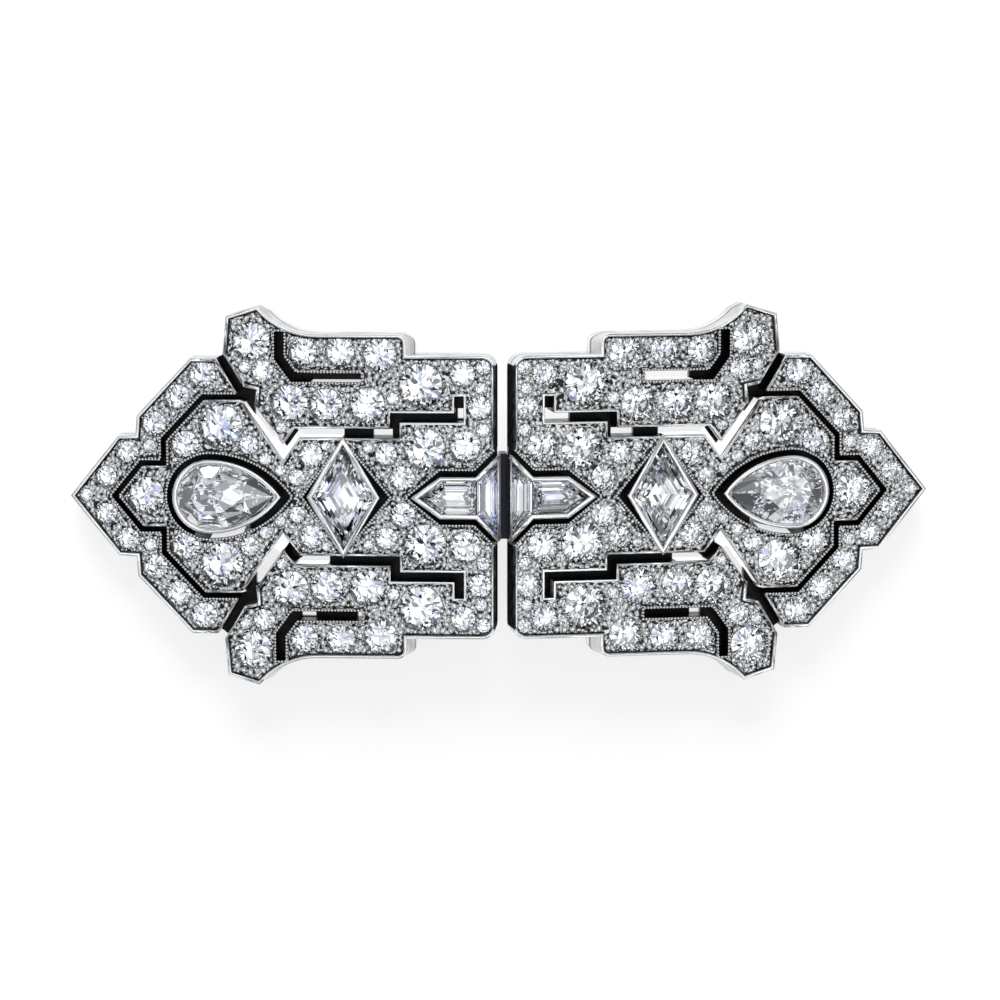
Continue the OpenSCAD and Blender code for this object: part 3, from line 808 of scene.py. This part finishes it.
def outer_wall(run, closed, profile, most=0.0):
    """The wall below an edge. Where it faces the middle of the brooch it flares by most at its foot."""
    n = len(run)
    ahead, behind = directions(run, closed)
    outward = (ahead + behind)[:, ::-1] * (1, -1)
    outward /= np.linalg.norm(outward, axis=1)[:, None]
    facing = -np.column_stack([behind[:, 1], ahead[:, 1]])
    convex = behind[:, 0] * ahead[:, 1] > behind[:, 1] * ahead[:, 0]
    facing = np.where(convex, facing.min(1), facing.max(1))
    flare = most * np.maximum(0, facing) * np.clip(run[:, 0] - FLARE_FROM, 0, 1)
    shift = np.column_stack([-flare, np.zeros(n)])
    rows = [
        np.column_stack([run + outward * WALL_GAP + shift * share, np.full(n, z)]) for z, share in profile
    ]
    faces = [(b, a, d, c) for a, b, c, d in band_faces(n, len(rows), closed)]
    return np.concatenate(rows), faces


def bezel_runs(path):
    """A bezel's outer edge in runs, each with its profile: the arrow's is thin along its inner end."""
    near = path[:, 0] < BEZEL_INNER_EDGE
    inner = np.flatnonzero(near & np.roll(near, -1))
    if not len(inner):
        return [(path, True, BEZEL_PROFILE)]
    turned = np.roll(path, -inner[0] - 1, 0)
    thin = [(d / 2, z) for d, z in BEZEL_PROFILE]
    return [(turned, False, BEZEL_PROFILE), (turned[[-1, 0]], False, thin)]


def below_pear(run):
    """The stretch of a run below the pear, where a wall glowing with painted light stands for the light that
    comes through the slot from behind.
    """
    inside = (run[:, 1] < CRESCENT_BELOW) & (abs(run[:, 0] - PEAR_X + CRESCENT_SHIFT) < CRESCENT_HALF)
    first = np.flatnonzero(inside & ~np.roll(inside, 1))
    if inside.all() or len(first) != 1 or not near_stone_slot(run):
        return run[:0]
    return np.roll(run, -first[0], 0)[:inside.sum()]


def near_stone_slot(run):
    """Whether a run follows the slot round the pear or the lozenge."""
    x, y = np.abs(run).mean(0)
    return y < STONE_SLOT_HALF and any(low < x < high for low, high in STONE_SLOTS)


# Grains over the sunk floor, found on a grid: how big they are, how far they keep from rims and reach over
# stones' edges, the share that is left out, and how close they stand
GRID = 0.04
GRAIN_MAX = 0.3
GRAIN_MIN = 0.085
RIM_GAP = 0.09
STONE_LAP = 0.05
GRAINS_LEFT_OUT = 0.05
GRAIN_LAP = 0.95
GRAIN_SIZES = (0.9, 1.08)
GRAIN_SEED = 5
FLOOR_SLACK = 0.03
NOTHING_BELOW = -9.0


def distances(mask, reach):
    """Distance of each grid point from the nearest point of a mask, as far as reach."""
    n, m = mask.shape
    steps = int(reach / GRID) + 1
    padded = np.pad(mask, steps, constant_values=False)
    away = np.full(mask.shape, reach)
    for di in range(-steps, steps + 1):
        for dj in range(-steps, steps + 1):
            other = padded[steps + di:steps + di + n, steps + dj:steps + dj + m]
            away = np.where(other, np.minimum(away, math.hypot(di, dj) * GRID), away)
    return away


def floor_places(points, tris):
    """Grid points over a mount's sunk floor, and the room for a grain at each."""
    tree = BVHTree.FromPolygons(points.tolist(), tris.tolist())
    low, high = points.min(0)[:2], points.max(0)[:2]
    xs, ys = np.arange(low[0], high[0], GRID), np.arange(low[1], high[1], GRID)
    depth = np.full((len(xs), len(ys)), NOTHING_BELOW)
    for i, x in enumerate(xs):
        for j, y in enumerate(ys):
            hit = tree.ray_cast((x, y, 1.0), (0, 0, -1))[0]
            if hit is not None:
                depth[i, j] = hit[2]
    from_rims = distances(depth > -FLOOR_DROP + FLOOR_SLACK, GRAIN_MAX + RIM_GAP) - RIM_GAP
    from_stones = distances(depth < -FLOOR_DROP - FLOOR_SLACK, GRAIN_MAX) + STONE_LAP
    room = np.minimum(np.minimum(from_rims, from_stones), GRAIN_MAX)
    return xs, ys, np.where(abs(depth + FLOOR_DROP) < FLOOR_SLACK, room, 0)


def grains(points, tris, rng):
    """Grains over the sunk floor: the widest place left takes the next grain, until only cracks are left."""
    xs, ys, room = floor_places(points, tris)
    reach = int(2 * GRAIN_MAX / GRID) + 2
    made = []
    while True:
        i, j = np.unravel_index(np.argmax(room), room.shape)
        if room[i, j] < GRAIN_MIN:
            return made
        radius = room[i, j] * rng.uniform(*GRAIN_SIZES)
        made.append((xs[i], ys[j], radius))
        i0, i1, j0, j1 = max(i - reach, 0), i + reach + 1, max(j - reach, 0), j + reach + 1
        near = np.hypot(xs[i0:i1, None] - xs[i], ys[None, j0:j1] - ys[j]) - radius * GRAIN_LAP
        room[i0:i1, j0:j1] = np.minimum(room[i0:i1, j0:j1], np.maximum(near, 0))


ROUND_STONES = ("shield", "horn", "tab", "scroll", "step", "body", "bay")
CROWN_SHARE = 0.32
PAVILION_SHARE = 0.86
STONE_LEAN = 0.05
STONE_SEED = 11


def rounds(name, side, diamond):
    """Every round stone of a clip, cut anew: one piece for each node."""
    rng = random.Random(STONE_SEED + side)
    nodes = [n for n in sorted(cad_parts) if n.startswith(ROUND_STONES) and name in n.split("_")]
    for node_name in nodes + ["small_stones_" + name]:
        piece = Pieces()
        for centre, radius in stone_places(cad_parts[node_name], side):
            points, faces = brilliant(radius, CROWN_SHARE, PAVILION_SHARE, turn=rng.uniform(0, math.pi))
            lean = (rng.uniform(-STONE_LEAN, STONE_LEAN), rng.uniform(-STONE_LEAN, STONE_LEAN))
            piece.add(placed(points, centre, -GIRDLE_DROP, lean), faces)
        cut = piece.make(node_name + "_cut", side, diamond, "diamond", False)
        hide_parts(node_name)


# The pear's place, radius and heights, and the step cuts' crown and pavilion: rows of
# [inset from the girdle, height over it]
PEAR_X, PEAR_R, PEAR_CROWN, PEAR_PAVILION = 23.1, 2.52, 0.28, 0.7
STEP_CUTS = {
    "lozenge_stone_": (
        [(0.92, 0.825), (0.62, 0.68), (0.3, 0.44), (0, 0.12)],
        [(0, -0.12), (0.55, -0.8), (1.1, -1.4), (1.6, -1.85), (1.98, -2.1)],
    ),
    "bullet_stone_": (
        [(0.55, 0.342), (0.36, 0.3), (0.18, 0.2), (0, 0.06)],
        [(0, -0.06), (0.35, -0.4), (0.7, -0.68), (1.05, -0.9)],
    ),
    "trapezoid_stone_": (
        [(0.36, 0.342), (0.24, 0.28), (0.12, 0.18), (0, 0.06)],
        [(0, -0.06), (0.22, -0.3), (0.45, -0.5), (0.68, -0.66)],
    ),
}
# A bright liner, glowing with painted light, lies this far below the facets of each bezelled stone, and one
# stone's glow is tinted as painted fire
LINER_GAP = 0.06
FIERY_STONE = "trapezoid_stone_left"
# A girdle turns by more than this at a corner, in square millimetres
NEARLY_STRAIGHT = 0.01


def girdle_outline(node, side):
    """The outline of a stone's girdle, counterclockwise: the hull of its points seen from above."""
    flat = np.unique(np.round(welded(node, side)[0][:, :2], 2), axis=0)
    hull = []
    for rows in (flat, flat[::-1]):
        chain = []
        for p in rows:
            while len(chain) > 1 and np.cross(chain[-1] - chain[-2], p - chain[-1]) <= NEARLY_STRAIGHT:
                chain.pop()
            chain.append(p)
        hull += chain[:-1]
    return np.array(hull)


def fancy_stones(name, side, diamonds, metals):
    """The pear, the lozenge and the two step-cut stones of a clip's arrow."""
    cuts = {}
    for word, rows in STEP_CUTS.items():
        cuts[word] = step_cut(girdle_outline(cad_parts[word + name], side), *rows)
    points, faces = brilliant(PEAR_R, PEAR_CROWN, PEAR_PAVILION, outline=pear)
    cuts["pear_stone_"] = (placed(points, (PEAR_X, 0), 0), faces)
    for word, (points, faces) in cuts.items():
        gem = diamonds["pear" if word.startswith("pear") else "stone"]
        # Each stone's liner glows: painted light.
        liner = Pieces()
        points = np.asarray(points, float)
        liner.add(points - (0, 0, LINER_GAP), [f for f in faces if points[list(f), 2].max() < 0])
        lining = metals["fire" if word + name == FIERY_STONE else "seat"]
        liner.make(word + name + "_seat", side, lining, "platinum", False)
        piece = Pieces()
        piece.add(points, faces)
        cut = piece.make(word + name + "_cut", side, gem, "diamond", False)
        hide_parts(word + name)


def dress(metals, diamonds):
    """Everything that is drawn on the two clips."""
    for name, side in SIDES.items():
        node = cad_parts["clip_mount_" + name]
        paint(node, metals["mount"])
        points, tris = welded(node, side)
        edge_metal(points, tris, name, side, metals)
        pieces = Pieces()
        rng = random.Random(GRAIN_SEED + side)
        for x, y, radius in grains(points, tris, rng):
            if rng.random() > GRAINS_LEFT_OUT:
                add_bead(pieces, (x, y), radius, -FLOOR_DROP, rng)
        pieces.make("grains_" + name, side, metals["bead"], "platinum", True)
        rounds(name, side, diamonds["stone"])
        fancy_stones(name, side, diamonds, metals)


def paint(node, made):
    """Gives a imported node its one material."""
    node.data.materials.clear()
    node.data.materials.append(made)


def brooch():
    """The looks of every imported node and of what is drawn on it."""
    metals = {
        "mount": mount_metal(),
        "rim": polished_metal("platinum_polished", (0.88, 0.88, 0.87), smoothest=0.1, roughest=0.2),
        "bead": polished_metal("platinum_beads", (0.95, 0.95, 0.94), smoothest=0.05, roughest=0.12),
        "wall": wall_metal(),
        # The seats glow as painted light; the fire's blue and violet tints are painted fire.
        "seat": seat_material("seat_glow", [
            (0.38, 0.22), (0.5, 0.4), (0.515, (0.2, 0.22, 1.0)), (0.535, 0.5), (0.62, 0.75)
        ]),
        "fire": seat_material("seat_glow_fire", [
            (0.36, 0.25), (0.44, 0.5), (0.46, (0.1, 0.2, 1.0)), (0.5, (0.25, 0.45, 1.0)),
            (0.53, (0.45, 0.2, 0.9)), (0.57, 0.6), (0.64, 0.8)
        ]),
        # Painted shade: near-black metal without gloss, for the inner walls, the grooves and the dark ledges.
        "shade": patchy_metal(
            "shaded_metal", dark=0.006, light=0.022, Roughness=0.7, Specular_IOR_Level=0.0
        ),
        # Painted light: the lit metal glows, on the slot walls, the lit ledges and the crescent.
        "lit": patchy_metal(
            "slot_wall_glow", dark=0.4, light=0.6, Metallic=0.5, Roughness=0.5,
            Emission_Color=(1, 1, 1, 1), Emission_Strength=0.72
        ),
    }
    back = polished_metal("back_metal_satin", (0.62, 0.62, 0.62), smoothest=0.25, roughest=0.4)
    for name in ("brooch_pin", "clip_prongs_left", "clip_prongs_right"):
        paint(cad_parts[name], back)
    paint(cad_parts["brooch_frame"], frame_metal())
    diamonds = {
        "stone": diamond_material("diamond_stone", glow=0.0),
        "pear": diamond_material("diamond_pear", glow=0.012),
    }
    dress(metals, diamonds)


# The studio

SKY_STRENGTH = 1.02
BACKDROP = (0.93, 0.93, 0.94, 1)
PANE_SCALE = 7.0


def world_light():
    """A pale backdrop, and for the brooch a sky of light and dark panes, a few of them tinted for fire."""
    world = bpy.data.worlds.new("studio")
    bpy.context.scene.world = world
    world.use_nodes = True
    nodes, links = world.node_tree.nodes, world.node_tree.links
    nodes.clear()
    out = nodes.new("ShaderNodeOutputWorld")
    lit = nodes.new("ShaderNodeBackground")
    seen = nodes.new("ShaderNodeBackground")
    seen.inputs["Color"].default_value = BACKDROP
    coordinates = nodes.new("ShaderNodeTexCoord")
    height = nodes.new("ShaderNodeSeparateXYZ")
    links.new(coordinates.outputs["Generated"], height.inputs[0])
    sky = ramp_node(nodes, links, height.outputs["Z"], [(0.0, 0.16), (0.25, 0.2), (0.45, 0.5), (0.62, 1.0)])
    cells = nodes.new("ShaderNodeTexVoronoi")
    cells.inputs["Scale"].default_value = PANE_SCALE
    links.new(coordinates.outputs["Generated"], cells.inputs["Vector"])
    split = nodes.new("ShaderNodeSeparateColor")
    links.new(cells.outputs["Color"], split.inputs[0])
    panes = ramp_node(nodes, links, split.outputs[0], [
        (0.28, 0.02), (0.31, 0.28), (0.48, 0.42), (0.52, 0.85), (0.78, 0.95), (0.82, 1.8)
    ])
    tints = ramp_node(nodes, links, split.outputs[1], [
        (0.93, (0.95, 0.98, 1.0)), (0.94, (0.52, 0.66, 1.0)), (0.97, (0.72, 0.7, 1.0)),
        (0.98, (1.0, 0.96, 0.9))
    ])
    links.new(tints.outputs["Color"], lit.inputs["Color"])
    tone = math_node(nodes, links, "MULTIPLY", sky.outputs["Color"], panes.outputs["Color"])
    links.new(math_node(nodes, links, "MULTIPLY", tone, SKY_STRENGTH), lit.inputs["Strength"])
    path = nodes.new("ShaderNodeLightPath")
    mix = nodes.new("ShaderNodeMixShader")
    links.new(path.outputs["Is Camera Ray"], mix.inputs[0])
    links.new(lit.outputs[0], mix.inputs[1])
    links.new(seen.outputs[0], mix.inputs[2])
    links.new(mix.outputs[0], out.inputs["Surface"])


FLOOR_SIZE = 1.6


def floor_piece():
    """The floor: dark enough for a soft shadow only, and lit from within, so that it is nearly white."""
    bpy.ops.mesh.primitive_plane_add(size=FLOOR_SIZE)
    floor = bpy.context.object
    floor.name = "floor"
    made = material(
        "floor_white", Base_Color=(0.15, 0.15, 0.155, 1), Roughness=0.6,
        Emission_Color=(1, 1, 1, 1), Emission_Strength=0.8
    )[0]
    floor.data.materials.append(made)


# How wide the picture is at the brooch, which way the camera leans, and the point it looks at
VIEW_WIDTH = 78.35 * MM
LEAN_UP = math.radians(7)
LEAN_SIDE = math.radians(-3.6)
ROLL = math.radians(-0.47)
AIM = Vector((-0.22, -0.4, 5.3)) * MM
LENS = 150.0
SENSOR = 36.0


def camera():
    """Over the brooch, leaning towards its upper edge and a little to its left, with a long lens."""
    data = bpy.data.cameras.new("camera")
    data.lens = LENS
    data.sensor_width = SENSOR
    data.clip_start, data.clip_end = 0.01, 10
    back = Vector((math.tan(LEAN_SIDE), math.tan(LEAN_UP), 1)).normalized()
    right = Vector((math.cos(ROLL), math.sin(ROLL), 0))
    right = (right - back * right.dot(back)).normalized()
    piece = bpy.data.objects.new("camera", data)
    turn = Matrix((right, back.cross(right), back)).transposed()
    piece.matrix_world = Matrix.Translation(AIM + back * LENS / SENSOR * VIEW_WIDTH) @ turn.to_4x4()
    bpy.context.scene.collection.objects.link(piece)
    bpy.context.scene.camera = piece


KEY_SIZE = 0.3
KEY_ENERGY = 4.2
KEY_PLACE = Vector((-0.04, 0.36, 0.25))


def key_light():
    """A broad soft light from beyond the upper edge, so that the shadow falls below the lower one."""
    data = bpy.data.lights.new("key", "AREA")
    data.shape = "DISK"
    data.size = KEY_SIZE
    data.energy = KEY_ENERGY
    piece = bpy.data.objects.new("key", data)
    piece.location = KEY_PLACE
    piece.visible_glossy = False
    piece.visible_transmission = False
    piece.rotation_euler = KEY_PLACE.to_track_quat("Z", "Y").to_euler()
    bpy.context.scene.collection.objects.link(piece)


brooch()
world_light()
floor_piece()
key_light()
camera()

scene = bpy.context.scene
scene.view_settings.view_transform = "Standard"
scene.cycles.max_bounces = 14
scene.cycles.transmission_bounces = 12
scene.cycles.glossy_bounces = 6
scene.cycles.diffuse_bounces = 3
scene.cycles.use_denoising = True
